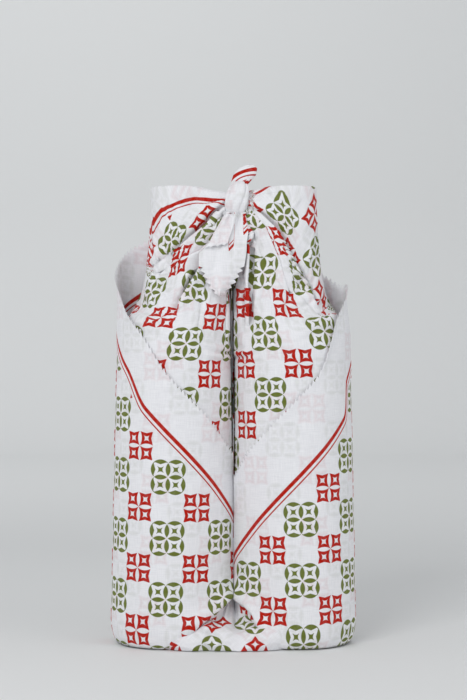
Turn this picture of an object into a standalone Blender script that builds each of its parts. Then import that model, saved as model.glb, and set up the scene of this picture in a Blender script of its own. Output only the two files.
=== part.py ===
"""Two-bottle gift wrap: one square of printed cotton rolled round two wine bottles and knotted on top.

Metres, +Z up. The origin lies on the table midway between the bottles, and the front is -Y.
The cloth is divided where it changes layer or folds, so that each region is a solid of its own.
"""

from math import atan2, copysign, cos, pi, radians, sin, sqrt, tan

import bmesh
import bpy
from mathutils import Vector

MM = 0.001
SEGMENTS = 24  # facets round a bottle; every concentric shell shares them, so gaps stay even
GAP = 0.3 * MM  # clearance that neighbouring pieces keep
SMOOTH_ANGLE = radians(40)
SIDES = {"left": -1, "right": 1}

# Bottle: a 750 ml high-shouldered wine bottle, heights measured from its own foot.
BOTTLE_R = 36.0 * MM
BOTTLE_H = 290.0 * MM
FOOT_R = 32.0 * MM  # ring that the bottle stands on
HEEL_R = BOTTLE_R - FOOT_R
PUNT_H = 18.0 * MM
PUNT_R = 30.0 * MM
GLASS_T = 3.0 * MM
BASE_GLASS_T = 5.0 * MM
SHOULDER_Z = 191.0 * MM
SHOULDER_R = 28.0 * MM
NECK_FILLET_R = 22.0 * MM
NECK_R = 13.8 * MM
NECK_TOP_R = 13.2 * MM
BAND_R = 14.3 * MM  # raised ring below the lip
BAND_Z = (272.0 * MM, 280.0 * MM)
LIP_R = 13.3 * MM
BORE_R = 9.3 * MM
CORK_L = 44.0 * MM
CAPSULE_T = 0.4 * MM
CAPSULE_Z = 234.0 * MM  # lower edge of the foil
WINE_TOP_Z = 236.0 * MM

# Cloth layers, counted outwards from the glass.
INNER_WRAP_T = 0.9 * MM  # three turns of cloth
OUTER_WRAP_T = 0.6 * MM  # the last turn, with its slack
BASE_T = 0.9 * MM  # cloth under both bottles
INNER_WRAP_R = BOTTLE_R + GAP + INNER_WRAP_T
OUTER_WRAP_R = INNER_WRAP_R + GAP + OUTER_WRAP_T
BOTTLE_Z = BASE_T + GAP + OUTER_WRAP_T + GAP + INNER_WRAP_T + GAP
HEEL_Z = BOTTLE_Z + HEEL_R  # centre height of every heel arc

# The wrapped bottles stand a little apart at the foot and lean together, until they meet at the shoulder.
BASE_AXIS_X = 42.6 * MM
LEAN = radians(1.18)
SEAT_LIFT = 0.8 * MM  # keeps the tilted heels off the base cloth
WRAP_TOP_Z = 203.0 * MM  # where the sleeve gives way to the gathered hood

# Free pinked edge of the last turn: it climbs at 45 degrees round each bottle,
# starting at this height where the bottles meet.
EDGE_START_Z = {"left": 110.0 * MM, "right": 97.0 * MM}
COLLAR_ANGLES = (radians(135), radians(215))  # the part of that edge that stands off the shoulder
COLLAR_COLUMNS = 12
COLLAR_TAPER = 0.10  # inward lean of the collar, per unit of height

# Knot.
KNOT_Y = -10.0 * MM
KNOT_Z = 289.0 * MM
KNOT_END_X = 7.0 * MM  # the hoods run into the knot here
CORE_HALF = (7.0 * MM, 7.0 * MM)  # half depth, half height of the cloth inside the knot
BAND_WALL = 3.2 * MM
BAND_HALF_WIDTH = 6.0 * MM

# Gathered hood over each neck: stations from the sleeve's top to the knot.
# (outer x, outer z, inner x, inner z, half depth, y shift) in millimetres, x counted outwards.
HOOD_STATIONS = (
    (75.2, 205.2, 1.6, 205.2, 36.6, 0.0),
    (67.5, 219.0, 1.0, 217.0, 31.0, 0.0),
    (59.0, 237.0, 1.0, 234.0, 25.0, 0.0),
    (56.5, 260.0, 1.2, 252.0, 21.0, 0.0),
    (55.5, 285.0, 2.0, 266.0, 20.5, 0.0),
    (48.5, 301.5, 3.0, 272.5, 22.0, 0.0),
    (27.0, 301.5, 4.5, 277.0, 17.0, -5.0),
    (7.3, 296.0, 7.3, 282.0, 7.0, -10.0),
)
HOOD_RINGS = 16
HOOD_POINTS = 36
HOOD_SQUARENESS = 1.0  # added to the ellipse's exponent of 2 half way up, where the cloth spans the neck
HOOD_NARROWING = 0.4  # the gather closes in towards the middle
PLEATS = 7
PLEAT_DEPTH = 0.16  # share of the ring's half size, towards the knot

# Tails of the knot: stations along each, (distance, half width, half thickness, x shift), millimetres.
FRONT_TAIL_STATIONS = (
    (0.6, 5.0, 1.6, 0.0),
    (10.0, 8.0, 1.5, -1.0),
    (22.0, 13.5, 1.4, -3.0),
    (33.0, 15.5, 1.3, -5.0),
    (42.0, 11.5, 1.2, -6.2),
    (48.0, 5.0, 1.0, -7.0),
    (51.5, 0.9, 0.8, -7.4),
)
FRONT_TAIL_LEAN = 0.22
FRONT_HINGE = Vector((0.0, KNOT_Y - 8.0 * MM, 280.2 * MM))
FOLD_STATIONS = (
    (5.0, 3.5, 0.6, -2.5),
    (10.0, 5.0, 0.6, -4.0),
    (19.0, 7.5, 0.6, -7.0),
    (27.0, 7.5, 0.6, -9.5),
)
UPPER_TAIL_STATIONS = (
    (0.3, 4.5, 0.5, 0.5),
    (4.0, 6.5, 2.6, 1.5),
    (9.0, 7.8, 3.4, 3.0),
    (13.0, 6.0, 2.8, 4.0),
    (15.0, 2.2, 1.4, 4.4),
)
UPPER_HINGE = Vector((0.0, KNOT_Y, 300.2 * MM))
TAIL_POINTS = 16

# Folded gusset in the crevice at the foot, front and back.
GUSSET_TOP_Z = 55.0 * MM
GUSSET_DEEP_Y = 12.0 * MM
GUSSET_FACE_Y = (36.0 * MM, 15.0 * MM)  # at the foot and at the top
GUSSET_RINGS = 8
GUSSET_STEPS = 5
TUCK_TOP_Z = 150.0 * MM  # upper end of the corner that is tucked between the sleeves
TUCK_HALF_DEPTH = GUSSET_DEEP_Y - 2 * GAP
TUCK_RINGS = 5

# Colours as linear RGB, roughness and metallic value.
FINISHES = {
    "printed_cotton": ((0.80, 0.80, 0.82), 0.85, 0.0),
    "bottle_glass": ((0.03, 0.07, 0.03), 0.08, 0.0),
    "wine": ((0.12, 0.005, 0.02), 0.10, 0.0),
    "cork": ((0.52, 0.34, 0.18), 0.80, 0.0),
    "capsule_foil": ((0.16, 0.02, 0.03), 0.35, 0.6),
}


def clear_scene():
    for old in list(bpy.data.objects):
        bpy.data.objects.remove(old)


def material(name):
    colour, roughness, metallic = FINISHES[name]
    made = bpy.data.materials.get(name) or bpy.data.materials.new(name)
    made.use_nodes = True
    shader = made.node_tree.nodes["Principled BSDF"]
    shader.inputs["Base Color"].default_value = (*colour, 1.0)
    shader.inputs["Roughness"].default_value = roughness
    shader.inputs["Metallic"].default_value = metallic
    return made


def add_object(name, bm, finish, parent=None, location=(0, 0, 0)):
    """Closes off a bmesh as a named object with outward faces and its own material."""
    bmesh.ops.recalc_face_normals(bm, faces=bm.faces)
    mesh = bpy.data.meshes.new(name)
    bm.to_mesh(mesh)
    bm.free()
    mesh.shade_smooth()
    mesh.set_sharp_from_angle(angle=SMOOTH_ANGLE)
    mesh.materials.append(material(finish))
    made = bpy.data.objects.new(name, mesh)
    made.location = location
    made.parent = parent
    bpy.context.scene.collection.objects.link(made)
    return made


def arc(centre, radius, start, end, steps):
    """Points (r, z) on an arc, angles in radians."""
    angles = [start + (end - start) * k / steps for k in range(steps + 1)]
    return [(centre[0] + radius * cos(a), centre[1] + radius * sin(a)) for a in angles]


def turned(profile):
    """Bmesh of an (r, z) profile spun round Z; a profile that ends off the axis is closed into a ring."""
    bm = bmesh.new()
    points = [bm.verts.new((r, 0, z)) for r, z in profile]
    edges = [bm.edges.new(pair) for pair in zip(points, points[1:])]
    if profile[0][0] > 0:
        edges.append(bm.edges.new((points[-1], points[0])))
    bmesh.ops.spin(bm, geom=points + edges, cent=(0, 0, 0), axis=(0, 0, 1),
                   angle=2 * pi, steps=SEGMENTS, use_merge=True)
    bmesh.ops.remove_doubles(bm, verts=bm.verts, dist=1e-6)
    return bm


def loft(rings, cap=True):
    """Bmesh of quads between closed point rings of equal length, with an end cap on the first and the last."""
    bm = bmesh.new()
    loops = [[bm.verts.new(p) for p in ring] for ring in rings]
    count = len(loops[0])
    for low, high in zip(loops, loops[1:]):
        for k in range(count):
            n = (k + 1) % count
            bm.faces.new((low[k], low[n], high[n], high[k]))
    if cap:
        bm.faces.new(loops[0])
        bm.faces.new(loops[-1])
    return bm


def smooth_table(rows, t):
    """Row at t in 0..1 on a Catmull-Rom curve through a table's rows."""
    place = t * (len(rows) - 1)
    i = min(int(place), len(rows) - 2)
    f = place - i
    before, here, after, beyond = (rows[max(0, min(len(rows) - 1, i + k))] for k in (-1, 0, 1, 2))
    return [
        0.5 * (2 * b + (c - a) * f + (2 * a - 5 * b + 4 * c - d) * f**2 + (3 * b - a - 3 * c + d) * f**3)
        for a, b, c, d in zip(before, here, after, beyond)
    ]


def shoulder_tangent():
    """Height of the neck fillet's centre and the angle at which it meets the shoulder arc."""
    across = (NECK_R + NECK_FILLET_R) - (BOTTLE_R - SHOULDER_R)
    up = sqrt((SHOULDER_R + NECK_FILLET_R) ** 2 - across**2)
    return SHOULDER_Z + up, atan2(up, across)


def shoulder_profile(offset):
    """Shoulder and neck root from body to neck, moved outwards by offset."""
    fillet_z, meet = shoulder_tangent()
    convex = arc((BOTTLE_R - SHOULDER_R, SHOULDER_Z), SHOULDER_R + offset, 0, meet, 5)
    concave = arc((NECK_R + NECK_FILLET_R, fillet_z), NECK_FILLET_R - offset, pi + meet, pi, 3)
    return convex + concave[1:]


def punt_z(r):
    return PUNT_H * (1 - (r / PUNT_R) ** 2)


def punt_profile(lift, steps=3):
    """Dome under the bottle from its axis outwards, lifted by lift."""
    return [(PUNT_R * k / steps, punt_z(PUNT_R * k / steps) + lift) for k in range(steps + 1)]


def bottle_outside():
    return (
        punt_profile(0.4 * MM)
        + arc((FOOT_R, HEEL_R), HEEL_R, -pi / 2, 0, 3)
        + shoulder_profile(0)
        + [(NECK_TOP_R, BAND_Z[0] - 2 * MM), (BAND_R, BAND_Z[0]), (BAND_R, BAND_Z[1])]
        + [(LIP_R, BAND_Z[1] + 2 * MM), (LIP_R, BOTTLE_H - 1.5 * MM), (LIP_R - 1 * MM, BOTTLE_H)]
    )


def bottle_inside(inset):
    """Inner wall from the cork's foot down to the axis, drawn in by inset."""
    inner_r = BOTTLE_R - GLASS_T
    floor_r = FOOT_R - GLASS_T
    walls = shoulder_profile(-GLASS_T - inset)[::-1]
    floor = punt_profile(BASE_GLASS_T + inset)[::-1]
    return walls + [(inner_r - inset, 14 * MM), (floor_r - inset, 8 * MM + inset)] + floor[1:]


def add_seat(name, side):
    """Empty on a bottle's axis at the table, tilted with the bottle. Everything round the bottle hangs on it."""
    seat = bpy.data.objects.new(f"bottle_seat_{name}", None)
    seat.location = (side * BASE_AXIS_X, 0, SEAT_LIFT)
    seat.rotation_euler = (0, -side * LEAN, 0)
    bpy.context.scene.collection.objects.link(seat)
    return seat


def build_bottle(name, seat):
    """Glass, wine, cork and foil of one bottle."""
    cork_foot = BOTTLE_H - CORK_L - 2 * MM
    bore = [(BORE_R, BOTTLE_H), (BORE_R, cork_foot), (NECK_R - GLASS_T, WINE_TOP_Z + 2 * MM)]
    glass = turned(bottle_outside() + bore + bottle_inside(0))

    level = [(0, WINE_TOP_Z), (NECK_R - GLASS_T - GAP, WINE_TOP_Z)]
    wine = turned(level + bottle_inside(GAP))

    cork_r, chamfer = BORE_R - GAP, 0.8 * MM
    top, foot = BOTTLE_H - 1 * MM, BOTTLE_H - 1 * MM - CORK_L
    cork = turned([(0, foot), (cork_r - chamfer, foot), (cork_r, foot + chamfer),
                   (cork_r, top - chamfer), (cork_r - chamfer, top), (0, top)])

    capsule = turned(capsule_profile(GAP + CAPSULE_T) + capsule_profile(GAP)[::-1])

    for piece, bm, finish in (("bottle_glass", glass, "bottle_glass"), ("wine", wine, "wine"),
                              ("cork", cork, "cork"), ("capsule", capsule, "capsule_foil")):
        add_object(f"{piece}_{name}", bm, finish, seat, location=(0, 0, BOTTLE_Z))


def capsule_profile(offset):
    """Foil over lip, band and neck, from the top of the axis down to its lower edge, off the glass by offset."""
    return [
        (0, BOTTLE_H + offset),
        (LIP_R + offset, BOTTLE_H + offset),
        (LIP_R + offset, BAND_Z[1] + 2 * MM + offset),
        (BAND_R + offset, BAND_Z[1] + offset),
        (BAND_R + offset, BAND_Z[0] - offset),
        (NECK_TOP_R + offset, BAND_Z[0] - 2 * MM - offset),
        (NECK_R + offset, CAPSULE_Z),
    ]


def wall_point(side, angle, radius, z):
    """Point on a shell round a bottle's axis. Angle 0 faces the other bottle, 90 degrees the front."""
    return Vector((-side * radius * cos(angle), -radius * sin(angle), z))


def heel_column(outer, thickness, top_z):
    """Closed section (r, z) of a sleeve wall: up its outer face from under the foot, and back down inside."""
    outside, inside = outer - FOOT_R, outer - FOOT_R - thickness
    up = arc((FOOT_R, HEEL_Z), outside, -pi / 2, 0, 3) + [(outer, top_z)]
    down = [(outer - thickness, top_z)] + arc((FOOT_R, HEEL_Z), inside, 0, -pi / 2, 3)
    return up + down


def build_inner_wrap(name, seat):
    """The first three turns of cloth, as a sleeve from under the foot to the shoulder."""
    bm = turned(heel_column(INNER_WRAP_R, INNER_WRAP_T, WRAP_TOP_Z))
    add_object(f"inner_wrap_{name}", bm, "printed_cotton", seat)


def edge_height(name, angle):
    """Height of the pinked edge of the last turn at an angle round the bottle."""
    return EDGE_START_Z[name] + OUTER_WRAP_R * angle


def build_outer_wrap(name, side, seat):
    """The last turn of cloth, cut along its climbing edge."""
    columns = []
    for k in range(SEGMENTS):
        angle = 2 * pi * k / SEGMENTS
        top_z = min(WRAP_TOP_Z, edge_height(name, angle))
        section = heel_column(OUTER_WRAP_R, OUTER_WRAP_T, top_z)
        columns.append([wall_point(side, angle, r, z) for r, z in section])
    columns.append(columns[0])
    bm = loft(columns, cap=False)
    bmesh.ops.remove_doubles(bm, verts=bm.verts, dist=1e-6)
    add_object(f"outer_wrap_{name}", bm, "printed_cotton", seat)


def build_collar(name, side, seat):
    """Loose corner of the last turn, which stands clear of the shoulder and folds outwards at its foot."""
    hinge = Vector((side * OUTER_WRAP_R, 0, WRAP_TOP_Z))
    foot_z = WRAP_TOP_Z + 0.4 * MM
    start, end = COLLAR_ANGLES
    start = max(start, (foot_z + 1 * MM - EDGE_START_Z[name]) / OUTER_WRAP_R)
    columns = []
    for k in range(COLLAR_COLUMNS + 1):
        angle = start + (end - start) * k / COLLAR_COLUMNS
        top_z = edge_height(name, angle)
        lean = COLLAR_TAPER * (top_z - foot_z)
        section = ((OUTER_WRAP_R, foot_z), (OUTER_WRAP_R - lean, top_z),
                   (OUTER_WRAP_R - lean - OUTER_WRAP_T, top_z), (OUTER_WRAP_R - OUTER_WRAP_T, foot_z))
        columns.append([wall_point(side, angle, r, z) - hinge for r, z in section])
    add_object(f"collar_{name}", loft(columns), "printed_cotton", seat, location=hinge)


def hood_ring(side, t):
    """One gathered ring of the hood: an oval between its outer and inner guide, pleated towards the knot."""
    ox, oz, ix, iz, depth, shift = (value * MM for value in smooth_table(HOOD_STATIONS, t))
    centre = Vector((side * (ox + ix) / 2, shift, (oz + iz) / 2))
    along = Vector((side * (ix - ox) / 2, 0, (iz - oz) / 2))
    half_way = sin(pi * t)
    power = 2 / (2 + HOOD_SQUARENESS * half_way)
    ring = []
    for k in range(HOOD_POINTS):
        angle = 2 * pi * k / HOOD_POINTS
        across, deep = (copysign(abs(f(angle)) ** power, f(angle)) for f in (cos, sin))
        inward = 0.5 + 0.5 * cos(angle)
        swell = 1 - PLEAT_DEPTH * half_way * inward * (0.5 + 0.5 * cos(PLEATS * angle))
        narrow = 1 - HOOD_NARROWING * half_way * inward
        ring.append(centre + swell * (along * across + Vector((0, -depth * narrow * deep, 0))))
    return ring


def neck_cutter(name, seat):
    """Room for shoulder, neck and foil inside the hood."""
    room = 0.8 * MM
    neck_room = BAND_R + GAP + CAPSULE_T + room
    below, above = SHOULDER_Z - 20 * MM, BOTTLE_H + GAP + CAPSULE_T + room
    shoulder = [(max(r, neck_room), z) for r, z in shoulder_profile(room)]
    profile = [(0, below), (BOTTLE_R + room, below), *shoulder, (neck_room, above), (0, above)]
    cutter = add_object(f"neck_cutter_{name}", turned(profile), "cork", seat, location=(0, 0, BOTTLE_Z))
    cutter.hide_render = True
    cutter.display_type = "WIRE"
    return cutter


def build_hood(name, side, seat):
    """Upper part of the roll, bunched round the neck and drawn sideways into the knot."""
    rings = [hood_ring(side, k / (HOOD_RINGS - 1)) for k in range(HOOD_RINGS)]
    hood = add_object(f"neck_gather_{name}", loft(rings), "printed_cotton")
    cut = hood.modifiers.new("neck_room", "BOOLEAN")
    cut.operation = "DIFFERENCE"
    cut.object = neck_cutter(name, seat)


def build_base():
    """Cloth that runs on under both bottles: a flat stadium, which the wrap stands on."""
    end_r = FOOT_R + 1 * MM
    outline = []
    for side in (1, -1):
        for k in range(SEGMENTS // 2 + 1):
            angle = -side * pi / 2 + side * pi * k / (SEGMENTS // 2)
            outline.append((side * (BASE_AXIS_X + end_r * cos(angle)), end_r * sin(angle)))
    rings = [[Vector((x, y, z)) for x, y in outline] for z in (0, BASE_T)]
    add_object("base_cloth", loft(rings), "printed_cotton")


def crevice_half_width(y, z):
    """Room either side of the middle between the two sleeves, at depth y from the bottles' plane."""
    clear_r = OUTER_WRAP_R + GAP
    axis_x = BASE_AXIS_X - tan(LEAN) * z
    return axis_x - sqrt(clear_r**2 - y**2) - GAP


def build_gusset(name, front):
    """Cloth folded into the crevice above the base, wide at the foot and closing upwards."""
    foot_z = BASE_T + GAP
    rings = []
    for k in range(GUSSET_RINGS):
        t = k / (GUSSET_RINGS - 1)
        face_y = GUSSET_FACE_Y[0] + (GUSSET_FACE_Y[1] - GUSSET_FACE_Y[0]) * sin(t * pi / 2)
        z = foot_z + (GUSSET_TOP_Z - foot_z) * t
        depths = [GUSSET_DEEP_Y + (face_y - GUSSET_DEEP_Y) * j / GUSSET_STEPS for j in range(GUSSET_STEPS + 1)]
        right = [Vector((crevice_half_width(d, z), front * d, z)) for d in depths]
        left = [Vector((-p.x, p.y, p.z)) for p in reversed(right)]
        rings.append(right + left)
    add_object(f"{name}_gusset", loft(rings), "printed_cotton")


def build_tuck():
    """The square's far corner, pushed in between the sleeves as a wedge that thins upwards."""
    foot_z = BASE_T + GAP
    depths = [TUCK_HALF_DEPTH * (j / 4 - 1) for j in range(9)]
    rings = []
    for k in range(TUCK_RINGS):
        z = foot_z + (TUCK_TOP_Z - foot_z) * k / (TUCK_RINGS - 1)
        right = [Vector((crevice_half_width(d, z), d, z)) for d in depths]
        left = [Vector((-p.x, p.y, p.z)) for p in reversed(right)]
        rings.append(right + left)
    add_object("tucked_corner", loft(rings), "printed_cotton")


def knot_section(half_depth, half_height, x, count=20):
    return [
        Vector((x, KNOT_Y + half_depth * cos(2 * pi * k / count), KNOT_Z + half_height * sin(2 * pi * k / count)))
        for k in range(count)
    ]


def build_knot():
    """The two ends crossing inside the knot, and the band of cloth that grips them."""
    half_length = KNOT_END_X - GAP
    waist = 0.86  # the band pinches the cloth inside it
    core = []
    for k in range(9):
        x = half_length * (-1 + k / 4)
        pinch = waist + (1 - waist) * (x / half_length) ** 2
        core.append(knot_section(CORE_HALF[0] * pinch, CORE_HALF[1] * pinch, x))
    add_object("knot_core", loft(core), "printed_cotton")

    inner = [half + 0.5 * MM for half in CORE_HALF]
    band = []
    for k in range(7):
        x = BAND_HALF_WIDTH * (-1 + k / 3)
        wall = BAND_WALL * sqrt(max(0.0, 1 - 0.8 * (x / BAND_HALF_WIDTH) ** 2))
        band.append(knot_section(inner[0] + wall, inner[1] + wall, x))
    band += [knot_section(*inner, BAND_HALF_WIDTH), knot_section(*inner, -BAND_HALF_WIDTH), band[0]]
    bm = loft(band, cap=False)
    bmesh.ops.remove_doubles(bm, verts=bm.verts, dist=1e-6)
    add_object("knot_band", bm, "printed_cotton")


def tail_rings(stations, direction, lean, proud=0.0):
    """Flat oval sections along a tail, from its hinge outwards."""
    rings = []
    for distance, half_width, half_thick, shift in (tuple(v * MM for v in row) for row in stations):
        middle = Vector((shift, -lean * distance - proud, direction * distance))
        rings.append([
            middle + Vector((half_width * cos(2 * pi * k / TAIL_POINTS),
                             half_thick * sin(2 * pi * k / TAIL_POINTS), 0))
            for k in range(TAIL_POINTS)
        ])
    return rings


def build_tails():
    """The two corners of the square that come out of the knot, one hanging in front and one standing up."""
    front = tail_rings(FRONT_TAIL_STATIONS, -1, FRONT_TAIL_LEAN)
    add_object("front_tail", loft(front), "printed_cotton", location=FRONT_HINGE)
    fold = tail_rings(FOLD_STATIONS, -1, FRONT_TAIL_LEAN, proud=2.6 * MM)
    add_object("front_tail_fold", loft(fold), "printed_cotton", location=FRONT_HINGE)
    upper = tail_rings(UPPER_TAIL_STATIONS, 1, 0.0)
    add_object("upper_tail", loft(upper), "printed_cotton", location=UPPER_HINGE)


def main():
    clear_scene()
    for name, side in SIDES.items():
        seat = add_seat(name, side)
        build_bottle(name, seat)
        build_inner_wrap(name, seat)
        build_outer_wrap(name, side, seat)
        build_collar(name, side, seat)
        build_hood(name, side, seat)
    build_base()
    build_gusset("front", -1)
    build_gusset("back", 1)
    build_tuck()
    build_knot()
    build_tails()


main()
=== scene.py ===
from math import cos, pi, radians, sin, tan

import bmesh
import bpy
import numpy as np
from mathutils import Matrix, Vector
from mathutils.bvhtree import BVHTree
from mathutils.geometry import barycentric_transform


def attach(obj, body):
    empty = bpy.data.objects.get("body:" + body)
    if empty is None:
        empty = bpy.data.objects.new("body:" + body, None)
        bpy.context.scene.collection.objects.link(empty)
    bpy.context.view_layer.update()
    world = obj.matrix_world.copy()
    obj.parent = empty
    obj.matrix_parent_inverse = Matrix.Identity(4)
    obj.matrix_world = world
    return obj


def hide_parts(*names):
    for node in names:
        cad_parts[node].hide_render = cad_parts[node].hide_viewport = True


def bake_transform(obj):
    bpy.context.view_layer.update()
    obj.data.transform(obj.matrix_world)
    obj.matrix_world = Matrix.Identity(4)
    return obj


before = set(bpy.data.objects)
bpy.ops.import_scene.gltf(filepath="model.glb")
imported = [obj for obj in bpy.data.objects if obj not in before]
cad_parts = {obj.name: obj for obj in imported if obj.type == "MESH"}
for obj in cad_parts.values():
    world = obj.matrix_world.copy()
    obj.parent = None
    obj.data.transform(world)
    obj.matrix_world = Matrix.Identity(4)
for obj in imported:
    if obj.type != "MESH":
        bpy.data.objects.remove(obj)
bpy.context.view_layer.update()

# The two wrapped bottles, in metres, as the CAD model has them. Angle 0 on a bottle faces the other
# bottle, and 90 degrees is the front.
SIDES = {"left": -1, "right": 1}
BASE_AXIS_X = 0.0426
LEAN = radians(1.18)
SEAT_LIFT = 0.0008
FOOT_R = 0.032
TURN_R = 0.0381
TURN_HEEL = (0.0003, 0.0160)  # heights between which the cloth turns under the foot
ROLL_R = 0.0372
ROLL_HEEL = (0.0012, 0.0140)
# Outline of glass and foil under the cloth: height above the seat and radius.
BOTTLE_Z = (0.0, 0.1943, 0.2011, 0.2074, 0.213, 0.2176, 0.2225, 0.2288, 0.2373, 0.2950)
BOTTLE_R = (0.036, 0.036, 0.0352, 0.0327, 0.0288, 0.0236, 0.0184, 0.0155, 0.0150, 0.0150)
BOTTLE_TOP = 0.2950

# The cloth. A roll is a grid of points: columns round the bottle, rows up its sleeve and its hood.
CLOTH_T = 0.0004
COLUMNS = 240
SLEEVE_ROWS = 76
HOOD_ROWS = 84
ROUND = 2 * pi * np.arange(COLUMNS) / COLUMNS
SLEEVE_TOP = 0.184
THREAD = 2 * pi * ROLL_R / COLUMNS
# The pinked edge of the last turn: its height where the bottles meet, and how a crease draws it up
# further round: rise, angle of the start, spread, and the share of the rise lost again behind.
EDGE_START = {"left": 0.112, "right": 0.099}
EDGE_DRAWN_UP = {
    "left": (0.009, radians(85), radians(45), 0.0),
    "right": (0.020, radians(110), radians(28), 1.0),
}
CREASE_TOP = 0.195
# Lower fold of the last turn, where it sweeps from the middle down to the foot: angles and heights.
FOLD_ANGLE = {"left": (0, 94), "right": (0, 34.2, 44.7, 49.2, 66.8, 72)}
FOLD_HEIGHT = {"left": (0.0386, 0.0), "right": (0.0325, 0.0254, 0.0199, 0.0133, 0.0034, 0.0)}
# The gathers: number of tucks round the neck and the angle of the first.
TUCKS = {"left": (9, radians(32)), "right": (8, radians(38))}
KNOT = (0.0, -0.010, 0.289)
# Pleats laid over the front of the hoods, from the middle outwards, in millimetres: heights and
# distances from the middle along the fold, lift of its edge, and width.
PLEATS = {
    "left": (
        ((216, 224, 250, 277), (36.5, 34, 18.5, 5), 3.2, 12),
        ((240, 246, 255, 268), (49, 40, 22, 10), 3.2, 9),
        ((243, 256, 268, 286), (55, 36.5, 23, 4), 3.4, 14),
    ),
    "right": (
        ((206, 230, 270, 280), (9.6, 10, 10.8, 7), 3.0, 7),
        ((226, 249, 271, 281), (36, 28.7, 20.3, 11), 3.6, 10),
        ((212, 234, 250, 268, 283), (58, 46.7, 36.6, 28.7, 14), 4.6, 14),
    ),
}
# The print: from one figure to the next, and from the pinked edge to the wide stripe.
PITCH = 0.0195
STRIPE_IN = 0.0252
# Degrees at which the print of the panels between the pleats keeps its place round the bottle.
PANELS = {"left": (35, 80, 80), "right": (15, 45, 75)}
# The outermost panel lies askew, and behind it the print starts anew. Place of a figure on it in
# millimetres (distance from the middle, height), turn of the print, and heights in metres between
# which it begins. Then the line of its stripe, as distances from the middle and heights in millimetres.
FRONT_END, PRINT_ANEW = 105, 190
ASKEW = {
    "left": (40.8, 268.5, radians(30), 0.243, 0.252),
    "right": (34.3, 284.2, radians(-45), 0.216, 0.226),
}
STRIPE = {
    "left": (
        (3, 12, 25, 38, 45, 49, 52, 54.5, 55.5),
        (289.5, 291.8, 293.3, 293.3, 291.8, 288.5, 283, 277, 272),
    ),
    "right": ((0, 60), (294.0, 315.6)),
}

# Rings of the gathered hood from the shoulder to the knot, in millimetres:
# outer x and z, inner x and z, half depth, y shift.
HOOD_RINGS = (
    (67.5, 219.0, 0.7, 217.0, 31.0, 0.0),
    (59.5, 237.0, 0.7, 234.0, 26.0, 0.0),
    (57.0, 260.0, 0.8, 252.0, 23.0, -1.0),
    (55.0, 285.0, 1.2, 266.0, 22.0, -2.0),
    (51.0, 299.5, 1.6, 273.0, 21.0, -4.0),
    (27.0, 299.3, 2.0, 278.0, 13.0, -7.0),
    (2.5, 294.4, 2.5, 283.6, 5.4, -10.0),
)


def together(*parts):
    """Stacks values along a last axis, each spread to the same shape."""
    return np.stack(np.broadcast_arrays(*parts), axis=-1)


def lean_to_world(side, x, y, z):
    """World place of a bottle's own x, y and z. Each bottle leans to the middle."""
    return together(x * cos(LEAN) - side * z * sin(LEAN) + side * BASE_AXIS_X, y,
                    side * x * sin(LEAN) + z * cos(LEAN) + SEAT_LIFT)


def on_bottle(side, angle, r, z):
    """World place of a point at an angle, radius and height on a bottle."""
    return lean_to_world(side, -side * r * np.cos(angle), -r * np.sin(angle), z)


def off_bottle(side, place):
    """The reverse: the bottle's own x, y and z of points in the world."""
    x = place[..., 0] - side * BASE_AXIS_X
    z = place[..., 2] - SEAT_LIFT
    return x * cos(LEAN) + side * z * sin(LEAN), place[..., 1], -side * x * sin(LEAN) + z * cos(LEAN)


def sleeve_radius(angle, z, layer):
    """Radius of a layer of cloth, which bulges towards the other bottle until the two meet."""
    middle = BASE_AXIS_X - tan(LEAN) * z - 0.0003 - TURN_R + layer
    facing = np.clip(np.cos(angle), 0.01, 1)
    return np.minimum(layer + (middle - layer + 0.001) * facing**7, np.maximum(middle, layer) / facing)


def smooth_step(low, high, value):
    """Goes smoothly from 0 at low to 1 at high."""
    t = np.clip((value - low) / (high - low), 0, 1)
    return t * t * (3 - 2 * t)


def running_sum(steps, axis=0):
    """Running sum that starts from nought."""
    return np.insert(np.cumsum(steps, axis=axis), 0, 0, axis=axis)


def line_at(value, places, values):
    """Height and slope of a bent line."""
    ahead, behind = (np.interp(value + step, places, values) for step in (1, -1))
    return np.interp(value, places, values), (ahead - behind) / 2


def column_at(degrees):
    """Column of a roll's points at an angle."""
    return degrees * COLUMNS // 360


def heel_length(layer, low, high):
    """Length of cloth that turns under the foot."""
    return pi / 2 * np.hypot(layer - FOOT_R, high - low) / 2**0.5


def heel(layer, low, high, b):
    """Radius and height of a layer at a length b up from the foot: a quarter oval, then upright."""
    bend = np.clip((b - high) / heel_length(layer, low, high), -1, 0) * pi / 2
    z = np.where(b < high, high + (high - low) * np.sin(bend), b)
    return FOOT_R + (layer - FOOT_R) * np.cos(bend), z


def pull_taut(points, clear):
    """Shortens every column of a tube like a string, round what clear() keeps it off."""
    for stride in (8, 4, 2, 1):
        for _ in range(100):
            middle = (points[:-2 * stride] + points[2 * stride:]) / 2
            points[stride:-stride] = clear(middle.reshape(-1, 3)).reshape(middle.shape)
    return points


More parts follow.
